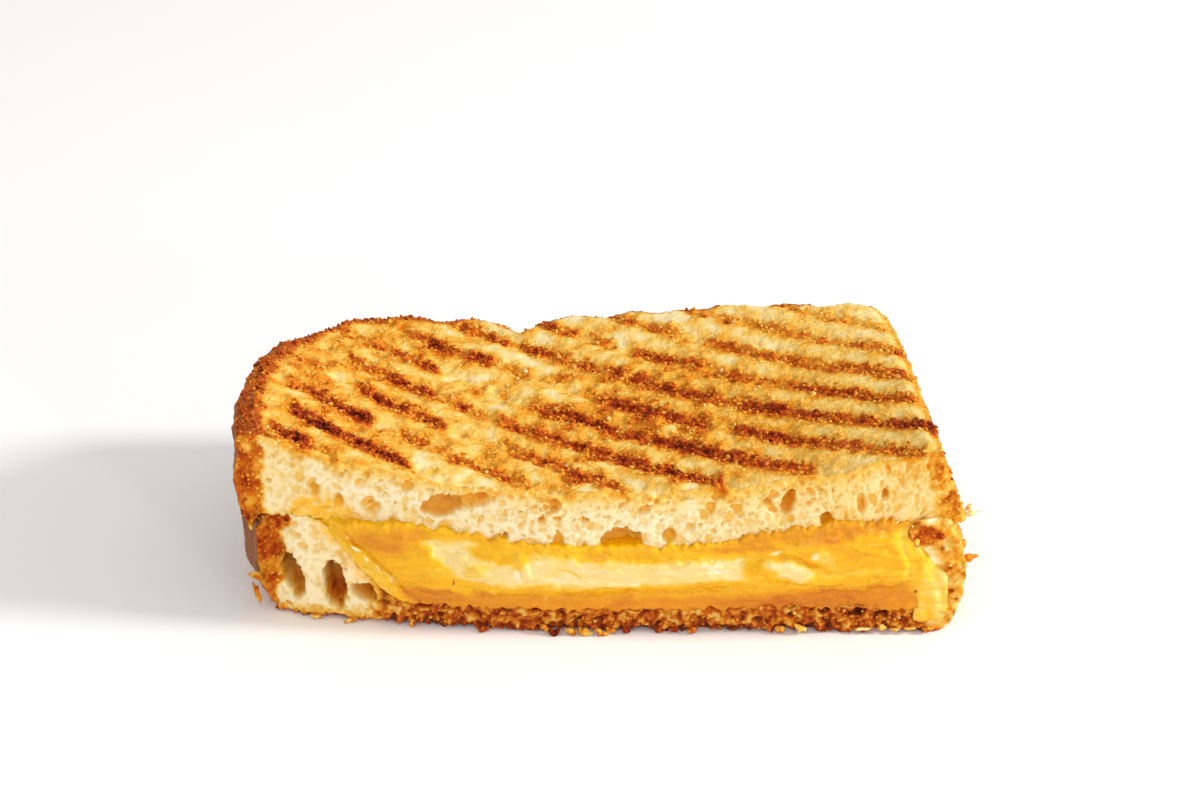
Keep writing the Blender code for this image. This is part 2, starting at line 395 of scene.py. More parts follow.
class Finish:
    """A material under construction, with its nodes reading places in millimetres."""

    def __init__(self, name):
        self.material = bpy.data.materials.new(name)
        self.material.use_nodes = True
        self.tree = self.material.node_tree
        self.shader = self.tree.nodes["Principled BSDF"]
        place = self.node("TexCoord", output="Object")
        self.place = self.node("VectorMath", {"operation": "SCALE"}, {0: place, "Scale": 1 / MM})
        self.x, self.y = (
            self.node("SeparateXYZ", {}, {0: self.place}, output=axis) for axis in "XY"
        )

    def node(self, kind, settings=None, sockets=None, output=0):
        """Adds a node: its settings first, then its sockets' values or links. Returns one output."""
        made = self.tree.nodes.new("ShaderNode" + kind)
        for key, setting in (settings or {}).items():
            if key == "stops":
                set_stops(made.color_ramp, setting)
            else:
                setattr(made, key, setting)
        for key, value in (sockets or {}).items():
            if isinstance(value, Value):
                self.tree.links.new(value.socket, made.inputs[key])
            else:
                made.inputs[key].default_value = value
        return Value(self, made.outputs[output])

    def attribute(self, name):
        return self.node("Attribute", {"attribute_name": name}, output="Fac")

    def grain(self, size, detail=2.0, stretch=(1, 1, 1)):
        """Noise from 0 to 1 in lumps of a size."""
        scaled = self.node("VectorMath", {"operation": "MULTIPLY"}, {0: self.place, 1: stretch})
        sockets = {"Vector": scaled, "Scale": 1 / size, "Detail": detail}
        return self.node("TexNoise", {}, sockets, output="Fac")

    def cells(self, size):
        """The distance to the nearest of many points that lie about a size apart, over that size."""
        sockets = {"Vector": self.place, "Scale": 1 / size}
        return self.node("TexVoronoi", {}, sockets, output="Distance")

    def mix(self, share, first, second):
        sockets = {0: share, 6: first, 7: second}
        return self.node("Mix", {"data_type": "RGBA"}, sockets, output=2)

    def colors(self, amount, stops):
        return self.node("ValToRGB", {"stops": stops}, {0: amount})

    def bump(self, height, depth):
        sockets = {"Height": height, "Distance": depth * MM, "Strength": 1.0}
        return self.node("Bump", {}, sockets)

    def set(self, **sockets):
        """Sets sockets of the shader. An underscore in a name stands for a space."""
        for key, value in sockets.items():
            socket = self.shader.inputs[key.replace("_", " ")]
            if isinstance(value, Value):
                self.tree.links.new(value.socket, socket)
            else:
                socket.default_value = value


def set_stops(ramp, stops):
    for index, (position, color) in enumerate(stops):
        if index < 2:
            stop = ramp.elements[index]
        else:
            stop = ramp.elements.new(position)
        stop.position = position
        stop.color = color


def paint(red, green, blue):
    """A colour from its usual 0 to 255 numbers, as the linear one that a shader takes."""
    linear = [(part / 255) ** 2.2 for part in (red, green, blue)]
    return (*linear, 1.0)


BREAD_BROWNING = (
    (0.00, paint(244, 230, 200)),
    (0.12, paint(240, 213, 150)),
    (0.25, paint(236, 188, 90)),
    (0.40, paint(227, 153, 43)),
    (0.55, paint(207, 109, 27)),
    (0.70, paint(182, 70, 20)),
    (0.85, paint(144, 47, 14)),
    (1.00, paint(90, 31, 12)),
)
CHEESE_SEEP = paint(244, 184, 40)
OUTER_CRUST = paint(186, 112, 48)
OUTER_CRUST_DARK = paint(122, 70, 34)

# What varies over the bread, each from 0 to about 1
# The pore layer is painted shade in the open bubbles and air holes, and inside the heels' holes the rind
# layer is painted shade too.
BREAD_LAYERS = ("browning", "char", "pore_shade", "rind_and_hole_shade", "soaked")

# How a rib's mark fades across it, in millimetres from its middle: sharp and ragged on the far
# side, and soft on the near side, where the butter has run.
MARK_FAR = 1.9
MARK_FAR_SOFT = 1.1
MARK_NEAR = -3.3
MARK_NEAR_SOFT = -0.9
MARK_DEPTH = 0.42


def rib_marks(finish):
    """The dark mark that each rib left, and the brown halo round it."""
    across = (finish.y - TOP_CENTRE_Y) * math.cos(STRIPE_ANGLE) - finish.x * math.sin(STRIPE_ANGLE)
    distance = (((across - STRIPE_OFFSET) / STRIPE_PITCH + 0.5).fract() - 0.5) * STRIPE_PITCH
    ragged = distance + (finish.grain(1.5) - 0.5) * 4.0 + (finish.grain(0.6) - 0.5) * 2.6
    wavy = distance + (finish.grain(2.4) - 0.5) * 4.0
    mark = ragged.ramp_up(MARK_FAR, MARK_FAR_SOFT) * wavy.ramp_up(MARK_NEAR, MARK_NEAR_SOFT)
    halo = wavy.ramp_up(MARK_NEAR - 1.6, MARK_NEAR + 0.8) * ragged.ramp_up(MARK_FAR + 1.0, MARK_FAR)
    return mark, halo


def bread_finish():
    """Bread goes from white crumb through gold to nearly black as it browns, all on one ramp. Painted
    shade in the pores and painted sparkle highlights move it along the same ramp.
    """
    finish = Finish("bread")
    browning, char, pore_shade, rind_and_hole_shade, soaked = (finish.attribute(name) for name in BREAD_LAYERS)
    mark, halo = rib_marks(finish)
    clumps = finish.grain(2.0).ramp_up(0.36, 0.64)
    patches = finish.grain(2.6) - 0.5
    grains = finish.grain(0.8, 3.0) - 0.5
    pinholes = finish.cells(0.75).ramp_up(0.42, 0.12)
    # Pale specks on the toasted skin are painted sparkle highlights.
    painted_sparkles = finish.cells(1.2).ramp_up(0.34, 0.16)
    roast = browning + char * (mark * (clumps * 0.14 + 0.27) + halo * 0.14)
    level = roast + (patches * 0.8 + grains * 1.2) * (roast * 0.53 + 0.04)
    # The pore layer darkens the bubbles and holes here: painted shade.
    level = level + pore_shade * 0.2 + pinholes * (roast * 0.1 + 0.015) - painted_sparkles * roast * 0.4
    toast = finish.colors(level, BREAD_BROWNING)
    toast = finish.mix(soaked, toast, CHEESE_SEEP)
    weathered = finish.grain(8.0, 4.0) * 0.6 + finish.grain(1.1, 3.0) * 0.4
    wall = finish.mix(weathered.ramp_up(0.34, 0.66), OUTER_CRUST, OUTER_CRUST_DARK)
    crisp = finish.grain(1.2, 3.0) * 1.1 + finish.grain(0.45) * 0.4
    relief = crisp * (roast * 1.9 + 0.05) - pinholes * 0.07
    relief = relief + rind_and_hole_shade * (finish.grain(1.8, 4.0, (1, 1, 0.5)) * 0.9 - pinholes * 0.1)
    finish.set(
        Base_Color=finish.mix(rind_and_hole_shade, toast, wall),
        Roughness=0.7 - char * mark * 0.2 - rind_and_hole_shade * 0.2,
        Coat_Weight=rind_and_hole_shade * 0.1,
        Coat_Roughness=0.3,
        Normal=finish.bump(relief, 0.6),
        Subsurface_Weight=0.12,
        Subsurface_Radius=(1.0, 0.6, 0.3),
        Subsurface_Scale=0.0015,
        Specular_IOR_Level=0.1,
    )
    return finish.material


bread = bread_finish()

# Air holes in the two heels, and cracks in the band
HEEL_HOLES = (
    # x, z, half width, half height, depth, tilt
    (-54.6, 8.4, 1.9, 4.3, 6.0, 16),
    (-47.0, 7.2, 2.1, 4.9, 7.0, 6),
    (-41.6, 6.0, 2.3, 1.7, 4.0, -14),
    (-53.6, 4.6, 1.5, 1.0, 3.5, 44),
    (-57.0, 13.6, 1.3, 2.4, 1.6, -10),
    (-55.2, 17.6, 0.8, 0.9, 1.0, 0),
    (-9.2, 5.2, 3.2, 0.9, 2.4, 4),
    (6.6, 5.6, 2.2, 1.0, 2.4, -10),
    (22.6, 5.6, 4.4, 0.8, 2.4, 0),
    (40.5, 4.6, 1.1, 0.8, 1.8, 0),
    (47.0, 4.4, 0.9, 1.1, 1.8, 0),
    (51.4, 4.2, 0.8, 1.2, 1.8, 0),
    (-31.0, 4.6, 1.4, 0.8, 1.6, 0),
)
# Where the crust of the top slice has rubbed off on the heels
CONTACTS = (
    # x, z, half width, half height, tilt
    (57.8, 19.8, 3.6, 2.2, 0),
    (-57, 19.2, 2.6, 2.0, 0),
)
COLUMNS = 32


def side_tone(middle, x, y, z):
    """The browning of the sides and the base, in large and small blotches."""
    return middle + 0.16 * lumps(x, y, z, 7, 56) + 0.14 * lumps(x, y, z, 2.5, 57)


def left_crust_tone(x, z, blotches, seed):
    """How much browner the crust at the left of the cut is than the crust at the right."""
    return ease(-x / 9) * (0.16 + blotches * lumps(x, 0, z / 1.6, 2.2, seed))


def bottom_zones(x, z):
    """How much a place on the cut is outer crust, and how much it is the band under the cheese."""
    left_crust = 55.4 + 2.0 * ease((9 - z) / 5) + 1.6 * lumps(0, 0, z, 2.0, 20)
    outer = max(ease((-x - left_crust) / 1.6), ease((x - 60.3) / 1.6))
    band = ease((x + 42) / 5) * ease((60 - x) / 2)
    return outer, band


def bottom_soaking(a, x, z, top):
    """How much melted cheese has soaked into the crumb of the two heels."""
    left = 1.1 * math.exp(-(top - z) / 2.8) * ease((x + 53) / 4) * ease((-36 - x) / 4)
    right = ease((58.8 - a) / 2.4) * ease((x - 50) / 2) * ease((z - 6) / 3)
    return 0.9 * min(1, max(left, right) * (1 + 1.4 * lumps(x, 0, z, 1.4, 59)))


def bottom_cut_tone(x, z, rough, outer, band):
    """White crumb in the heels, a dark mottled band between them, and a toasted edge below."""
    toasted_edge = 0.9 * math.exp(-z / 1.3)
    rubbed_off = max(patch(x, z, *contact) for contact in CONTACTS)
    rubbed_off *= 0.62 + 0.3 * lumps(x, 0, z, 1.2, 54)
    streaks = 0.3 * ease((x - 50) / 4) * lumps(x + z, 0, (z - x) / 4, 1.3, 52)
    crumb_tone = 0.06 + streaks + outer * (0.3 + left_crust_tone(x, z, 0.4, 13))
    band_tone = 0.62 + 0.3 * lumps(x, 0, z, 2.4, 14) + 0.3 * lumps(x, 0, z, 1.0, 58)
    band_tone = max(0.24, band_tone - 0.5 * rough + 0.25 * ease((2.4 - z) / 2))
    return max(toasted_edge, rubbed_off, crumb_tone + (band_tone - crumb_tone) * band)


def bottom_slice():
    """The lower slice, from the table to its seam with the cheese and the top slice."""
    rows, levels = 12, 4
    block = slab(COLUMNS, rows, levels, {"cut": 4, "left": 3, "right": 3, "back": 3, "base": 2})
    floor = seam(bread_floor)
    browning, char, pore_shade, rind_and_hole_shade, soaked = (block.verts.layers.float.new(name) for name in BREAD_LAYERS)
    for vert in block.verts:
        u, v, w = 2 * vert.co.x / COLUMNS - 1, vert.co.y / rows, vert.co.z / levels
        on_cut = vert.co.y < 1e-4
        top = floor(u, v) + 0.3 * ease(1 - v * 8)
        hem = ease(v / 0.03) * ease((1 - abs(u)) / 0.03) * ease((1 - v) / 0.03)
        x, y = plan(u, v)
        base = (1 - hem) * (0.8 + 1.0 * lumps(x, y, 0, 2.2, 9) + 0.6 * lumps(x, y, 0, 0.9, 10))
        z = base + (top - base) * w
        x, y = crust(u, v, z, bottom_walls, COLUMNS, rows, top - z)
        if on_cut:
            a = along_cut(u)
            outer, band = bottom_zones(x, z)
            inside = ease(w * (1 - w) * 16) * (1 - band) * (1 - 0.6 * outer)
            opened = foam(x, z, 0.8 + 0.5 * outer) * inside
            hole = hole_depth(x, z, HEEL_HOLES)
            rough = 0.9 * lumps(x, 0, z, 1.7, 11) + 0.6 * lumps(x, 0, z, 0.8, 12)
            right_heel_out = 0.5 * ease((x - 54) / 3) * ease((z - 8) / 4)
            y += opened + hole - rough * max(band, outer) - right_heel_out
            x += slant(a, z)
            vert[browning] = bottom_cut_tone(x, z, rough, outer, band)
            vert[soaked] = bottom_soaking(a, x, z, top)
            # Painted shade: the holes are darkened, most of all low in the slice, and so are the cracks
            # in the band.
            painted_hole_shade = ease(hole / 5) * (1.0 + 2.0 * ease((8 - z) / 5)) + 1.5 * band * ease(hole)
            vert[pore_shade] = opened * 0.9 + painted_hole_shade
            # Inside the holes the dull crust colour is painted shade as well; in the band it is the
            # band's own duller colour.
            vert[rind_and_hole_shade] = max(0.22 * band, 0.4 * ease(hole / 4))
        else:
            vert[browning] = side_tone(0.54, x, y, z) - 0.1 * ease((x - 50) / 9)
            vert[rind_and_hole_shade] = ease((z - 2) / 3) * ease(v / 0.02) * on_crust(u, v)
            distance, rib = stripe_distance(x, y)
            vert[char] = ease(1 - z) * (0.7 + 0.3 * lumps(x, y, rib * 5, 9))
        vert.co = MM * Vector((x, y, z))
    return finish_piece("bottom_slice", block, bread, ["bread_bottom"])


bottom = bottom_slice()


# ---------------------------------------------------------------------------------------------
# The melted cheese
# Two slices of orange cheddar with a white one between them, melted into each other. They bulge
# a little out of the cut, and at the right a flap has run down over the bottom slice.
# ---------------------------------------------------------------------------------------------

CHEESE_COLORS = (
    (0.00, paint(244, 226, 186)),
    (0.14, paint(239, 209, 134)),
    (0.28, paint(238, 194, 76)),
    (0.42, paint(240, 178, 14)),
    (0.58, paint(230, 158, 8)),
    (0.74, paint(216, 132, 14)),
    (0.88, paint(192, 98, 20)),
    (1.00, paint(140, 62, 18)),
)
PLAIN_ORANGE = 0.47
PLAIN_WHITE = 0.15
CHEESE_BULGE = 0.8
# The cheese ends before the slices begin to close on each other.
CHEESE_BACK = 0.875
# The columns of the sandwich that each kind of cheese takes up
ORANGE_SPAN = (3, 31.5)
WHITE_SPAN = (7.3, 26.2)


def cheese_finish():
    """Melted cheese: smooth, greasy and a little see-through."""
    finish = Finish("melted_cheese")
    streaks = finish.grain(2.2, 2.0, (0.45, 0.45, 1.6)) - 0.5
    level = finish.attribute("ripeness") + streaks * 0.28 + (finish.grain(0.8) - 0.5) * 0.14
    relief = finish.grain(2.2, 2.0, (0.5, 0.5, 1.5)) * 1.2 + finish.grain(0.7) * 0.22
    finish.set(
        Base_Color=finish.colors(level, CHEESE_COLORS),
        Roughness=0.3 + finish.grain(2.0) * 0.15,
        Normal=finish.bump(relief, 0.8),
        Subsurface_Weight=0.15,
        Subsurface_Radius=(1.0, 0.55, 0.2),
        Subsurface_Scale=0.002,
        Specular_IOR_Level=0.15,
        Coat_Weight=0.3,
        Coat_Roughness=0.06,
    )
    return finish.material


melted_cheese = cheese_finish()


SWELLS = (
    # x, z, half width, half height, tilt, softness, how far it stands out
    # The large swellings
    (-36.0, 15.5, 13.0, 4.6, -32, 0.5, 0.9),
    (-41.0, 11.0, 9.0, 1.9, -40, 0.6, 0.35),
    (-4.0, 12.6, 28.0, 3.6, 0, 0.9, 0.8),
    (33.5, 13.2, 5.2, 2.0, -12, 0.6, 0.5),
    (46.0, 15.0, 17.0, 5.4, 4, 0.5, 1.1),
    (44.0, 6.8, 20.0, 2.2, 4, 0.9, -0.6),
    # The fine folds and creases
    (-39.0, 13.2, 8.0, 0.35, -47, 1.0, -0.7),
    (-41.5, 12.0, 7.5, 0.5, -46, 1.0, 0.45),
    (8.0, 8.6, 26.0, 0.4, 2, 1.0, -0.4),
    (44.0, 10.2, 14.0, 0.4, 7, 1.0, -0.4),
    (36.0, 15.4, 5.0, 0.4, -22, 1.0, -0.5),
    (42.0, 14.2, 5.5, 0.5, 14, 1.0, 0.4),
    (47.5, 17.6, 4.0, 0.5, -16, 1.0, 0.5),
    (50.0, 12.0, 6.0, 0.5, 20, 1.0, 0.4),
    (-12.5, 13.6, 1.0, 2.6, 24, 1.0, 0.5),
    (18.0, 14.2, 5.0, 0.5, -4, 1.0, 0.4),
    (-22.0, 13.6, 4.5, 0.6, -30, 1.0, 0.4),
)

# Patches of the cheese's colour, laid over each other in order. The palest, thinnest ones are painted
# highlights.
STAINS_AND_PAINTED_GLINTS = (
    # x, z, half width, half height, tilt, softness, ripeness there
    (-38.0, 14.5, 13.0, 5.2, -32, 0.5, 0.49),
    (-27.0, 6.9, 10.0, 1.9, 0, 0.7, 0.76),
    (-27.0, 11.4, 6.4, 1.4, -36, 0.8, 0.4),
    (-21.0, 9.2, 5.5, 1.1, 0, 0.8, 0.41),
    (-49.0, 18.6, 3.6, 3.0, 0, 0.5, 0.44),
    (-38.6, 17.2, 5.0, 2.0, -8, 1.0, 0.72),
    (-34.0, 18.8, 4.6, 1.3, 0, 0.8, 0.66),
    (-41.4, 11.4, 9.6, 2.1, -42, 0.6, 0.36),
    # The next four rows are painted highlights along the crease at the left.
    (-42.6, 15.6, 1.0, 0.4, -40, 0.9, 0.0),
    (-41.2, 13.9, 0.5, 0.3, -52, 0.8, 0.0),
    (-39.2, 12.3, 0.8, 0.25, -52, 0.8, 0.05),
    (-36.6, 10.0, 2.8, 0.25, -36, 0.8, 0.2),
    # The next four rows are painted highlights on the swellings.
    (21.0, 13.6, 2.0, 0.6, -10, 1.0, 0.0),
    (49.5, 18.3, 1.4, 0.7, 0, 1.0, 0.1),
    (39.0, 16.6, 0.9, 0.6, 30, 1.0, 0.05),
    (32.0, 16.8, 1.2, 0.35, 24, 1.0, 0.05),
    (-17.0, 16.0, 5.6, 1.7, -4, 0.4, 0.44),
    (-12.4, 17.4, 2.2, 1.3, 20, 0.6, 0.46),
    (-13.8, 14.4, 0.9, 1.8, 0, 0.9, 0.34),
    # This row is a painted highlight.
    (-13.7, 12.0, 0.4, 1.0, 25, 0.8, 0.0),
    (-4.6, 12.6, 2.4, 0.25, -26, 0.8, 0.42),
    (-22.0, 12.6, 2.4, 0.9, 30, 1.0, 0.3),
    (-25.3, 10.3, 0.3, 0.7, 20, 0.6, 1.0),
    (0.6, 16.0, 2.4, 0.9, 0, 0.6, 0.52),
    (6.0, 17.4, 5.6, 1.6, 0, 0.5, 0.52),
    (15.5, 17.2, 7.0, 1.4, 0, 0.5, 0.46),
    (26.0, 17.4, 6.5, 1.0, 4, 0.9, 0.66),
    (41.5, 20.0, 6.5, 1.2, 8, 0.9, 0.7),
    (34.0, 13.6, 4.6, 1.7, -12, 0.6, 0.13),
    (30.5, 11.4, 2.0, 2.4, 30, 0.8, 0.42),
    # This row is a pale painted highlight.
    (41.0, 15.8, 1.0, 2.4, 34, 0.9, 0.3),
    (45.5, 13.0, 7.0, 0.6, 6, 0.9, 0.36),
    (51.0, 17.0, 5.0, 1.6, -10, 0.9, 0.5),
    (57.0, 13.5, 2.5, 5.0, 10, 0.9, 0.38),
    (54.6, 19.5, 2.0, 1.8, -40, 0.9, 0.3),
)


def cheese_front(a, x, z):
    """How far the cheese stands out of the cut here. It sinks in where the layers run out."""
    out = CHEESE_BULGE + 0.4 * lumps(x, 0, 2 * z, 7.0, 21) + 0.2 * lumps(x, 0, 1.6 * z, 2.5, 22)
    x, z = warped(x, z)
    for *place, height in SWELLS:
        out += height * patch(x, z, *place)
    out += (0.5 - out) * ease((a - 54) / 3.5)
    left_end = ease((bread_roof(a) - cheese_floor(a)) / 4.5)
    return out * left_end - 1.0 * (1 - left_end)


def warped(x, z):
    """The place that a coloured patch, a painted highlight or a swelling drawn at x, z has run to."""
    x += 0.9 * lumps(x, 0, z, 3.5, 23) + 0.5 * lumps(x, 0, z, 1.6, 27)
    z += 0.6 * lumps(x, 0, z, 3.5, 24) + 0.5 * lumps(x, 0, z, 1.6, 28)
    return x, z


def white_share(x, z):
    """1 where the white slice shows: a long lens, cut off on a slant at the left."""
    top = 15.3 + 3.6 * ease((2 - x) / 32)
    bottom = 9.5 + 1.3 * ease((x - 5) / 18)
    inside = min(top - z, z - bottom, (x + z + 14) / 1.4, (27 - x) / 1.6)
    return ease(inside / 1.6 + 0.3)


def ripeness_at(x, z):
    """The cheese's colour, from 0 for white to 1 for the darkest orange, with pale painted highlights
    among its patches.
    """
    x, z = warped(x, z)
    browned_below = 8.2 + 0.11 * max(x - 28, 0)
    orange_above = 17.2 + 2.6 * ease((x - 20) / 30)
    tone = PLAIN_ORANGE
    browned = 0.25 + 0.07 * ease((x - 24) / 6) - 0.08 * ease((x - 44) / 8)
    tone += browned * ease((browned_below - z) / 2.6 + 0.4)
    tone += 0.18 * ease((z - orange_above) / 1.4) * ease((x - 18) / 8)
    tone += (PLAIN_WHITE - tone) * white_share(x, z)
    # The patches laid on here include the painted highlights.
    for *place, stain_and_glint_tone in STAINS_AND_PAINTED_GLINTS:
        tone += (stain_and_glint_tone - tone) * patch(x, z, *place)
    return tone


@cache
def lower_seam(a):
    """The top of the lower orange layer."""
    thickness = 3.0 + 1.8 * ease((a + 25) / 50) + 0.5 * lumps(a, 0, 0, 5, 25)
    return min(cheese_floor(a) + thickness * ease((a + 47) / 8), bread_roof(a))


@cache
def white_top(a):
    """The top of the white layer, which runs out before both ends."""
    thickness = 7.6 * (1 - 0.45 * ease((a + 15) / 50)) + 0.5 * lumps(a, 0, 0, 6, 26)
    return min(lower_seam(a) + thickness * ease((a + 34.5) / 9) * ease((38 - a) / 9), bread_roof(a))


def cheese_layer(name, first, last, low_profile, high_profile, replaced, slot):
    """A layer between two seams, from one column of the sandwich to another."""
    columns, rows, levels = round(last - first), 8, 3
    block = slab(columns, rows, levels, {"cut": 4})
    low_seam, high_seam = seam(low_profile), seam(high_profile)
    ripeness = block.verts.layers.float.new("ripeness")
    for vert in block.verts:
        u = 2 * (first + (last - first) * vert.co.x / columns) / COLUMNS - 1
        v = CHEESE_BACK * vert.co.y / rows
        w = vert.co.z / levels
        low, high = low_seam(u, v) - 0.3, high_seam(u, v) + 0.3
        x, y = plan(u, v)
        z = low + (high - low) * w
        if vert.co.y < 1e-4:
            edge = max(0.0, min(z - low, high - z))
            x += slant(along_cut(u), z)
            y -= cheese_front(along_cut(u), x, z) - 0.3 * math.exp(-edge / 0.3)
        vert[ripeness] = ripeness_at(x, z)
        vert.co = MM * Vector((x, y, z))
    return finish_piece(name, block, melted_cheese, replaced)


cheese_layer("lower_cheddar", *ORANGE_SPAN, cheese_floor, lower_seam, ["cheddar_lower"], "orange_cheese")
cheese_layer("white_layer", *WHITE_SPAN, lower_seam, white_top, ["white_cheese"], "white_cheese")
cheese_layer("upper_cheddar", *ORANGE_SPAN, white_top, bread_roof, ["cheddar_upper"], "orange_cheese")

# The flap of cheese at the right
FLAP_LOW = 1.8
FLAP_HIGH = 20.4


def flap_sides(z):
    """The flap's left and right edges at a height: it hangs from the cheese above like a curtain."""
    left = 56.6 - 7.0 * ease((z - 8.5) / 5) - 0.4 * ease((3.5 - z) / 2)
    right = 62.7 - 5.6 * ease((z - 10.5) / 8) - 0.9 * ease((5 - z) / 4) + 0.3 * lumps(z, 0, 0, 1.6, 33)
    return left, right


def cheese_flap():
    """The thin pale curtain itself, round at the front and nearly flat behind."""
    block = bmesh.new()
    bmesh.ops.create_uvsphere(block, u_segments=128, v_segments=80, radius=1.0)
    ripeness = block.verts.layers.float.new("ripeness")
    for vert in block.verts:
        across, out, up = vert.co
        ring = max(math.sqrt(1 - min(up * up, 1)), 1e-4)
        z = FLAP_LOW + (FLAP_HIGH - FLAP_LOW) * (up + 1) / 2
        left, right = flap_sides(z)
        share = (across / ring + 1) / 2
        x = (left + right) / 2 + (right - left) * (share - 0.5) * math.sqrt(1 - up**20)
        folds = 0.5 * lumps(x + 0.2 * z, 0, z / 4, 2.0, 31)
        forward = math.sqrt(max(0.0, -out / ring)) - max(0.0, 0.2 * out / ring)
        height = (0.9 + 0.8 * ease((z - 8) / 4)) * (1 - up**12)
        y = cut_line(x) + 0.3 - height * forward - folds * max(0.0, forward)
        cream = 0.1 * ease((x - 58) / 4) + 0.16 * lumps(x + 0.2 * z, 0, z / 5, 1.4, 32)
        vert[ripeness] = 0.34 - cream + 0.05 * ease((z - 9) / 4) * ease((60 - x) / 3)
        vert.co = MM * Vector((x, y, z))
    return finish_piece("cheese_flap", block, melted_cheese, [])


cheese_flap()


# ---------------------------------------------------------------------------------------------
# The top slice
# The same white bread, buttered and pressed under a ribbed grill plate, so that its top is a
# saddle with dark slanting stripes. The knife has opened its crumb, with some large bubbles.
# ---------------------------------------------------------------------------------------------

TOP_HOLES = (
    # x, z, half width, half height, depth, tilt
    (-27.2, 24.6, 3.9, 2.1, 4.0, 14),
    (-22.0, 25.8, 4.4, 1.4, 1.8, 12),
    (4.6, 18.0, 3.8, 3.0, 3.4, 0),
    (33.7, 26.0, 1.2, 2.7, 2.6, -14),
    (12.9, 19.4, 1.4, 1.4, 2.0, 0),
    (-6.6, 18.4, 1.0, 1.7, 1.6, 0),
    (-7.2, 25.4, 1.1, 1.4, 1.5, 0),
    (-9.6, 22.4, 0.7, 0.6, 1.2, 0),
    (-16.0, 19.0, 0.6, 0.6, 1.4, 0),
    (40.4, 22.8, 1.1, 1.5, 1.6, 0),
    (46.4, 26.0, 0.8, 2.2, 1.2, 6),
    (30.2, 26.2, 0.7, 0.9, 1.2, 0),
    (-49.8, 26.0, 0.9, 1.2, 1.2, 0),
    (-45.6, 24.4, 0.9, 1.4, 1.2, 0),
    (-41.6, 28.0, 1.2, 1.0, 1.0, 0),
    (-39.4, 23.2, 1.5, 1.3, 1.3, 0),
    (16.7, 21.2, 0.9, 0.8, 1.2, 0),
    (8.4, 24.6, 1.2, 0.9, 1.2, 30),
    (-1.8, 22.3, 0.8, 0.7, 1.2, 0),
    (50.6, 27.5, 0.6, 1.2, 1.2, 20),
)
# x, z, half width, half height, tilt, softness
SOAKED_PATCH = (-48.6, 20.5, 5.2, 4.4, 0, 1.2)

# How far in the loaf's own crust shows from above
RIM_WIDTH = 5.0

# The marks that the ribs left, counted from the far right corner
STROKES = (
    # rib, from x, to x, how dark
    (1, 35, 56, 0.5),
    (2, 17, 48, 0.5),
    (2, 48, 58, 0.7),
    (3, 3, 18, 0.6),
    (3, 21, 50, 0.6),
    (3, 50, 58, 0.85),
    (4, -11, -4, 0.65),
    (4, -2, 4, 0.6),
    (4, 7, 22, 0.65),
    (4, 22, 38, 0.45),
    (4, 38, 58, 0.85),
    (5, -29, -17, 0.85),
    (5, -15, 0, 0.85),
    (5, 2, 25, 0.65),
    (5, 25, 52, 0.85),
    (5, 52, 60, 1.25),
    (6, -38, -33, 0.6),
    (6, -33, -20, 0.85),
    (6, -20, -12, 0.4),
    (6, 0, 20, 0.62),
    (6, 25, 57, 0.85),
    (7, -50, -40, 0.4),
    (7, -40, -30, 0.85),
    (7, -12, 10, 0.65),
    (7, 10, 38, 0.9),
    (8, -47, -40, 0.6),
    (8, -40, -30, 0.85),
    (8, -30, -20, 0.35),
    (8, -18, 0, 0.6),
    (8, 0, 12, 0.8),
    (8, 12, 22, 1.0),
    (9, -57, -50, 0.35),
    (9, -45, -28, 0.8),
    (9, -15, 5, 0.65),
    (10, -58, -52, 0.5),
    (10, -52, -41, 0.9),
    (10, -35, -30, 0.4),
    (10, -28, -12, 0.65),
    (11, -55, -33, 1.0),
    (12, -58, -50, 0.85),
)


def char_at(x, y):
    """How hard the nearest rib has charred the bread along its length."""
    rib = 6 - stripe_distance(x, y)[1]
    char = 0.0
    for stroke, start, end, dark in STROKES:
        if stroke == rib:
            from_start = ease((x - start + 1.5) / 2.5)
            to_end = ease((end + 1.5 - x) / 2.5)
            char = max(char, dark * from_start * to_end)
    return char


def ground_tone(x, y):
    """The toast between the stripes: golden in the middle, a little browner at the left, and pale
    and even at the right."""
    golden = hump(x - 8, 36) * hump(y + 8, 26)
    left = ease((-20 - x) / 25) * 0.15
    mottled = 0.2 * lumps(x, y, 0, 7, 41) + 0.24 * lumps(x, y, 0, 3, 42)
    mottled *= 1 - 0.45 * ease((x - 12) / 25)
    return max(0.1, 0.19 + 0.24 * golden + left + mottled)


def rim_tone(u, v):
    """The loaf's own brown crust, which shows as a rim round the left end and a narrow one behind."""
    x, y = plan(u, v)
    from_left = (1 + u) * 62 * (1 - 0.4 * hump(v, 0.13))
    from_back = (1 - v) * (75 if x < NOTCH_X else 110) + 3 * ease((x + 40) / 25)
    inwards = min(from_left, from_back) + 1.6 * lumps(x, y, 0, 4, 51)
    return 0.66 * ease(1.4 - inwards / RIM_WIDTH)


def toasted_relief(x, y):
    """The pressed surface: grooves under the ribs, and rough lumps that are coarser in the marks."""
    distance, rib = stripe_distance(x, y)
    wavy = distance + 0.6 * lumps(x, y, 0, 3, 43)
    groove = hump(wavy, 2.0)
    coarse = 0.5 * lumps(x, y, 0, 2.4, 44) + 0.4 * lumps(x, y, 0, 1.1, 45)
    rough = 0.3 + 0.7 * groove + 0.9 * ease((ground_tone(x, y) - 0.2) / 0.3)
    return coarse * rough - 0.7 * groove + 0.5 * lumps(x, y, 0, 8, 46)


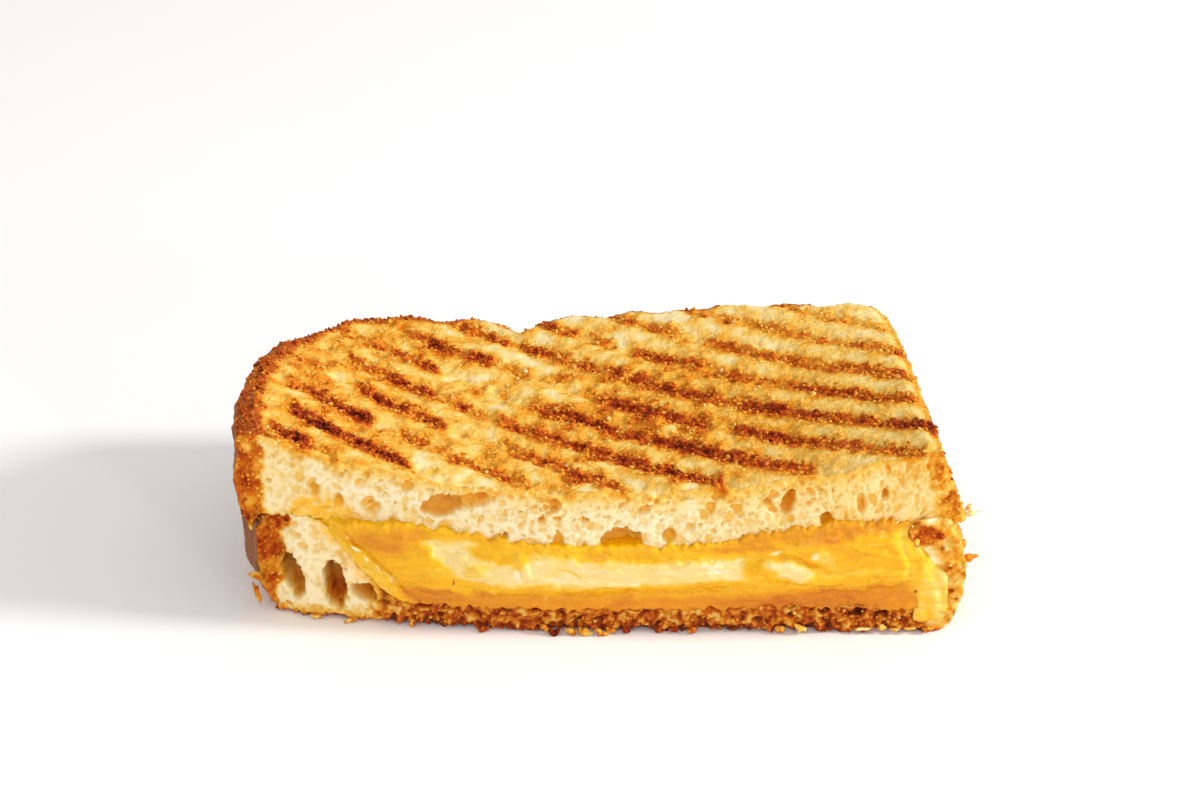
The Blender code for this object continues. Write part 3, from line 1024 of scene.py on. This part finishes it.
def top_zones(x, z, below):
    """How much a place on the cut is outer crust, and how much it may open into bubbles."""
    wander = 1.8 * lumps(0, 0, z, 2.4, 55)
    outer_left = ease((-x - 58.2 + wander) / 1.8)
    outer_right = ease((x - 57.4 + 0.25 * (z - 28) + wander) / 2.4)
    outer = max(outer_left, outer_right)
    openness = 0.6 + 0.6 * ease(below / 7) + 0.4 * outer
    return outer, openness


def top_cut_tone(x, y, z, below, outer):
    """White crumb that turns golden up towards the toasted top, between two browner crusts."""
    crumb_tone = 0.05 + 0.05 * lumps(x, 0, z, 9, 49)
    crumb_tone += 0.06 * ease((abs(x + 15) - 30) / 20) + 0.05 * ease((x - 30) / 20)
    golden_depth = 1.6 + 1.0 * hump(x - 10, 30) + 1.2 * lumps(x, 0, 0, 3, 53)
    fade = (max(below, 0) / golden_depth) ** 1.5
    golden = (max(ground_tone(x, y), 0.3) - crumb_tone) * math.exp(-fade)
    outer_tone = 0.41 + 0.3 * ease(x / 9) * lumps(x, 0, z, 1.6, 62) + left_crust_tone(x, z, 0.36, 50)
    return max(crumb_tone + golden, outer_tone * outer)


def top_soaking(x, z, above, opened, hole):
    """How much melted cheese shows in the crumb: along its underside, and in a patch at the left."""
    seep = math.exp(-above / 1.1) * (0.5 + 0.6 * ease(opened)) + ease(hole / 2) * ease((20 - z) / 3)
    left_patch = patch(x, z, *SOAKED_PATCH) * (1 + lumps(x, 0, z, 1.6, 60))
    return min(0.85, 0.7 * (seep * ease((abs(x) - 8) / 30 + 0.6) + 1.6 * left_patch))


def top_slice():
    """The upper slice, from its seam to the grooved top."""
    rows, levels = 18, 3
    block = slab(COLUMNS, rows, levels, {"cut": 4, "top": 3, "left": 3, "right": 3, "back": 3})
    roof = seam(bread_roof)
    browning, char, pore_shade, rind_and_hole_shade, soaked = (block.verts.layers.float.new(name) for name in BREAD_LAYERS)
    for vert in block.verts:
        u, v, w = 2 * vert.co.x / COLUMNS - 1, vert.co.y / rows, vert.co.z / levels
        on_cut = vert.co.y < 1e-4
        low = roof(u, v)
        x, y = plan(u, v)
        rim = max(ease((abs(u) - 0.96) / 0.04), ease((v - 0.97) / 0.03))
        high = top_height(x, y) + toasted_relief(x, y) * (1 - 0.6 * rim) - 1.0 * rim
        z = low + (high - low) * w
        x, y = crust(u, v, z, top_walls, COLUMNS, rows, z - low)
        if on_cut:
            below = high - z
            outer, openness = top_zones(x, z, below)
            inside = ease(below / 1.5) * ease((z - low + 0.4) / 0.8) * (1 - 0.6 * outer)
            opened = foam(x, z, openness)
            hole = hole_depth(x, z, TOP_HOLES)
            rough = 0.5 * lumps(x, 0, z, 1.7, 48) * max(outer, ease(1 - below / 3))
            round_edge = 0.3 * max(0, 1 - below / 0.9) ** 2
            y += opened * inside + hole + 0.3 * lumps(x, 0, z, 6, 47) - rough + round_edge
            x += slant(along_cut(u), z)
            # Painted shade in the open bubbles and in the holes
            vert[pore_shade] = min(1.3, opened * inside * 1.1 + 1.4 * ease(hole / 2))
            vert[browning] = top_cut_tone(x, y, z, below, outer)
            vert[soaked] = top_soaking(x, z, z - low, opened, hole)
        else:
            on_wall = ease((high - z) / 2)
            tone = ground_tone(x, y) * (1 - on_wall) + side_tone(0.44, x, y, z) * on_wall
            vert[browning] = max(tone, rim_tone(u, v), 0.42 * rim)
            wall = ease((top_height(*plan(u, v)) - z - 1.2) / 1.5) * ease(v / 0.01) * on_crust(u, v)
            vert[rind_and_hole_shade] = max(wall, 0.5 * ease(rim_tone(u, v) / 0.6 - 0.4))
        vert[char] = char_at(x, y) * ease(1 - (high - z) / 1.4)
        vert.co = MM * Vector((x, y, z))
    return finish_piece("top_slice", block, bread, ["bread_top"])


top = top_slice()


# ---------------------------------------------------------------------------------------------
# Crisp grains
# Browned grains and crumbs of the bread that stand up from its toasted skin, thickest on the
# grill marks and on the flattened bottom slice. They are part of the bread's own surface.
# ---------------------------------------------------------------------------------------------

GRAIN_RADIUS = (0.22, 0.46)
GRAIN_SUNK = 0.15
# Grains below this height lie on the flattened band, and are browned alike.
BAND_HEIGHT = 7


def mark_share(x, y):
    """The same mark as in the finish of the bread, without its raggedness."""
    distance, rib = stripe_distance(x, y)
    far = ease((MARK_FAR - distance) / (MARK_FAR - MARK_FAR_SOFT))
    near = ease((distance - MARK_NEAR) / (MARK_NEAR_SOFT - MARK_NEAR))
    return far * near


def crisp_grains(name, piece, count, seed):
    """Scatters small rough grains on a slice, each browned a little more or less than the bread."""
    mesh = piece.data
    draw = random.Random(seed)
    values = {layer: mesh.attributes[layer].data for layer in BREAD_LAYERS}
    reach = []
    total = 0.0
    for face in mesh.polygons:
        total += face.area
        reach.append(total)
    grain = bmesh.new()
    bmesh.ops.create_icosphere(grain, subdivisions=1, radius=1.0)
    shape = [vert.co.copy() for vert in grain.verts]
    tint = grain.verts.layers.float.new("browning")
    scratch = bpy.data.meshes.new("grain")
    batch = bmesh.new()
    for face in draw.choices(mesh.polygons, cum_weights=reach, k=count):
        corner = face.vertices[0]
        place = face.center / MM
        marked = values["char"][corner].value * mark_share(place.x, place.y)
        tone = values["browning"][corner].value + MARK_DEPTH * marked
        if draw.random() > ease((tone - 0.32) / 0.3) or values["rind_and_hole_shade"][corner].value > 0.6:
            continue
        radius = draw.uniform(*GRAIN_RADIUS) * (1 + 0.35 * marked)
        place += face.normal * radius * GRAIN_SUNK
        place.z = max(place.z, radius)
        turn = Matrix.Rotation(draw.uniform(0, math.tau), 3, Vector((draw.random(), draw.random(), 1)))
        squash = Vector((draw.uniform(0.8, 1.3), draw.uniform(0.8, 1.3), draw.uniform(0.6, 1.0)))
        if place.z < BAND_HEIGHT:
            tone = 0.48 + 0.3 * ease((2 - place.z) / 1.5)
        tone += draw.gauss(0, 0.09)
        for vert, corner_place in zip(grain.verts, shape):
            rough = corner_place * squash * draw.uniform(0.6, 1.3)
            vert.co = MM * (place + radius * (turn @ rough))
            vert[tint] = tone
        grain.to_mesh(scratch)
        batch.from_mesh(scratch)
    grain.free()
    bpy.data.meshes.remove(scratch)
    return finish_piece(name, batch, bread, [])


crisp_grains("top_grains", top, 26000, 3)
crisp_grains("bottom_grains", bottom, 9000, 4)

FLAKES = (
    # x, forward of the cut, z, half length, half width, tilt, browning
    (66.4, -3.0, 13.6, 2.2, 0.8, 14, 0.45),
    (65.6, -6.0, 14.6, 1.2, 0.6, 70, 0.5),
    (66.0, -1.0, 23.6, 1.5, 0.6, 12, 0.15),
    (65.4, -1.0, 24.8, 0.8, 0.5, 50, 0.3),
    (-61.2, 0.3, 3.6, 2.2, 0.6, -78, 0.45),
    (-61.6, 0.0, 7.6, 1.4, 1.0, 160, 0.38),
    (-62.6, -2.0, 34.6, 1.4, 1.0, 120, 0.6),
    (-50.5, 0.6, 0.5, 1.0, 0.5, 0, 0.3),
    (-44.2, 0.7, 0.5, 1.3, 0.5, 8, 0.28),
    (-33.0, 0.5, 0.6, 0.8, 0.6, 0, 0.6),
    (-20.0, 0.8, 0.5, 0.9, 0.7, 0, 0.62),
    (-7.6, 1.0, 0.6, 0.9, 0.8, 30, 0.9),
    (-9.0, 0.6, 1.2, 0.8, 0.7, 0, 0.5),
    (-4.4, 0.9, 0.6, 1.1, 0.8, 0, 0.45),
    (-1.8, 1.1, 0.7, 1.2, 0.9, -14, 0.36),
    (0.8, 1.3, 0.6, 1.1, 0.7, -24, 0.55),
    (2.6, 0.8, 0.7, 0.8, 0.7, 0, 0.5),
    (5.4, 0.6, 0.7, 0.7, 0.6, 0, 0.8),
    (14.0, 0.5, 0.7, 0.7, 0.6, 0, 0.8),
    (17.3, 0.6, 0.7, 0.8, 0.6, 0, 0.55),
    (33.0, 0.6, 1.0, 0.9, 0.7, 0, 0.4),
    (36.6, 0.8, 1.2, 1.1, 0.8, -10, 0.3),
    (47.8, 0.8, 1.0, 1.2, 0.4, 0, 0.28),
    (51.2, 0.6, 1.3, 0.8, 0.6, 0, 0.35),
    (53.6, 0.8, 1.0, 0.9, 0.4, 10, 0.3),
    (56.2, 0.8, 1.2, 1.0, 0.4, 0, 0.26),
    (59.4, 0.7, 1.0, 1.0, 0.6, 20, 0.6),
)


def flakes():
    """Larger flakes and crumbs that still hang on the torn edges."""
    batch = bmesh.new()
    tint = batch.verts.layers.float.new("browning")
    for x, forward, z, half_length, half_width, tilt, tone in FLAKES:
        turn = Matrix.Rotation(math.radians(-tilt), 3, "Y")
        made = bmesh.ops.create_icosphere(batch, subdivisions=3, radius=1.0)["verts"]
        for vert in made:
            along, deep, high = vert.co
            taper = 1 - 0.45 * (along + 1) / 2 - 0.45 * ease(along * (half_length > 1.3))
            shape = Vector((along * half_length, deep * half_width * taper, high * half_width * taper))
            coarse = 0.7 * lumps(x + shape.x, shape.y, shape.z, 0.8, 61)
            fine = 0.4 * lumps(shape.x, x, shape.z, 0.35, 62)
            shape *= 1 + coarse + fine
            place = Vector((x, cut_line(x) - forward, z)) + turn @ shape
            place.z = max(place.z, 0.05)
            vert[tint] = tone + 0.3 * lumps(place.x, place.y, place.z, 0.8, 63)
            vert.co = MM * place
    return finish_piece("flakes", batch, bread, [])


flakes()


# ---------------------------------------------------------------------------------------------
# Table, camera and lights
# A plain white table in soft studio light, with a low key light from the right. Places here are
# in metres.
# ---------------------------------------------------------------------------------------------

TABLE_REACH = 3.0
CAMERA_PLACE = (0, -0.44911, 0.2391)
CAMERA_DIP = 25
LIT_PLACE = (0, 0, 0.015)
WORLD_STRENGTH = 0.64
SOFTBOXES = (
    # name, place, size, power
    ("key", (1.25, -0.1, 0.62), 0.28, 18),
    ("front_fill", (-0.25, -1.2, 0.9), 0.9, 4),
    ("glint", (0.55, -1.0, 0.3), 0.1, 2),
)


def table():
    finish = Finish("white_table")
    shade = finish.mix(finish.grain(60.0), paint(250, 249, 246), paint(252, 251, 249))
    finish.set(Base_Color=shade, Roughness=0.8)
    block = bmesh.new()
    bmesh.ops.create_grid(block, x_segments=1, y_segments=1, size=TABLE_REACH)
    mesh = bpy.data.meshes.new("table")
    block.to_mesh(mesh)
    block.free()
    mesh.materials.append(finish.material)
    board = bpy.data.objects.new("table", mesh)
    bpy.context.scene.collection.objects.link(board)


def camera():
    """A long lens that looks down on the cut side."""
    data = bpy.data.cameras.new("camera")
    data.lens = 80
    data.sensor_width = 36
    data.clip_start = 0.01
    lens = bpy.data.objects.new("camera", data)
    lens.location = CAMERA_PLACE
    lens.rotation_euler = (math.radians(90 - CAMERA_DIP), 0, 0)
    bpy.context.scene.collection.objects.link(lens)
    bpy.context.scene.camera = lens


def softbox(name, place, size, power):
    """A round light that faces the middle of the sandwich."""
    data = bpy.data.lights.new(name, "AREA")
    data.shape = "DISK"
    data.size = size
    data.energy = power
    lamp = bpy.data.objects.new(name, data)
    lamp.location = place
    lamp.rotation_euler = (lamp.location - Vector(LIT_PLACE)).to_track_quat("Z", "Y").to_euler()
    bpy.context.scene.collection.objects.link(lamp)


def studio():
    world = bpy.data.worlds.new("studio")
    world.use_nodes = True
    background = world.node_tree.nodes["Background"]
    background.inputs["Color"].default_value = (1, 1, 1, 1)
    background.inputs["Strength"].default_value = WORLD_STRENGTH
    bpy.context.scene.world = world
    for box in SOFTBOXES:
        softbox(*box)


table()
camera()
studio()
bpy.context.scene.view_settings.view_transform = "Standard"
